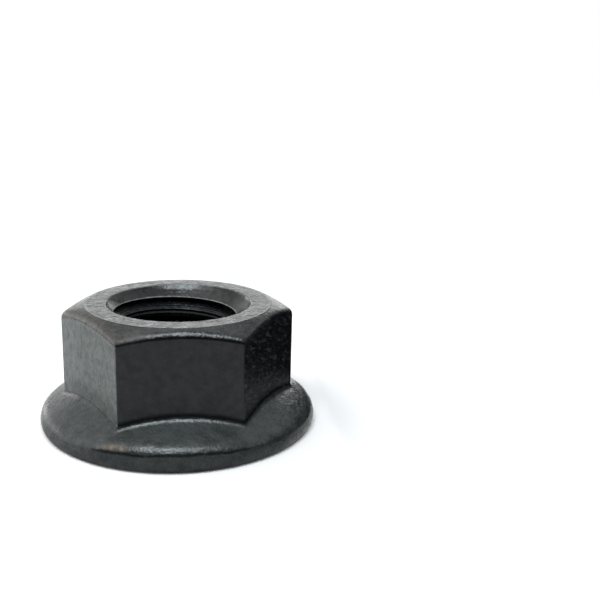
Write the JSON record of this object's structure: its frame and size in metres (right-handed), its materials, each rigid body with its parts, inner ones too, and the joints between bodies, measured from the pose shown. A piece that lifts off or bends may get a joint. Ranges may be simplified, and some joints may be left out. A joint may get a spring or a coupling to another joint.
{
  "type": "hex flange nut",
  "caption": "Hexagon nut forged in one piece with a round flange that slopes to a rounded rim; the threaded bore is countersunk at both ends and the bearing face is flat.",
  "frame": {"origin": "centre of the flat bearing face, on the thread's axis", "axes": "+Z along the thread's axis, from the bearing face to the top of the hexagon; +X through one corner of the hexagon"},
  "size_m": [0.0262, 0.0262, 0.0115],
  "materials": {
    "dark_steel": "forged steel with a dark grey oxide coating, semi-matt and slightly mottled"
  },
  "bodies": {
    "root": {"flange_nut": "dark_steel"}
  },
  "joints": []
}
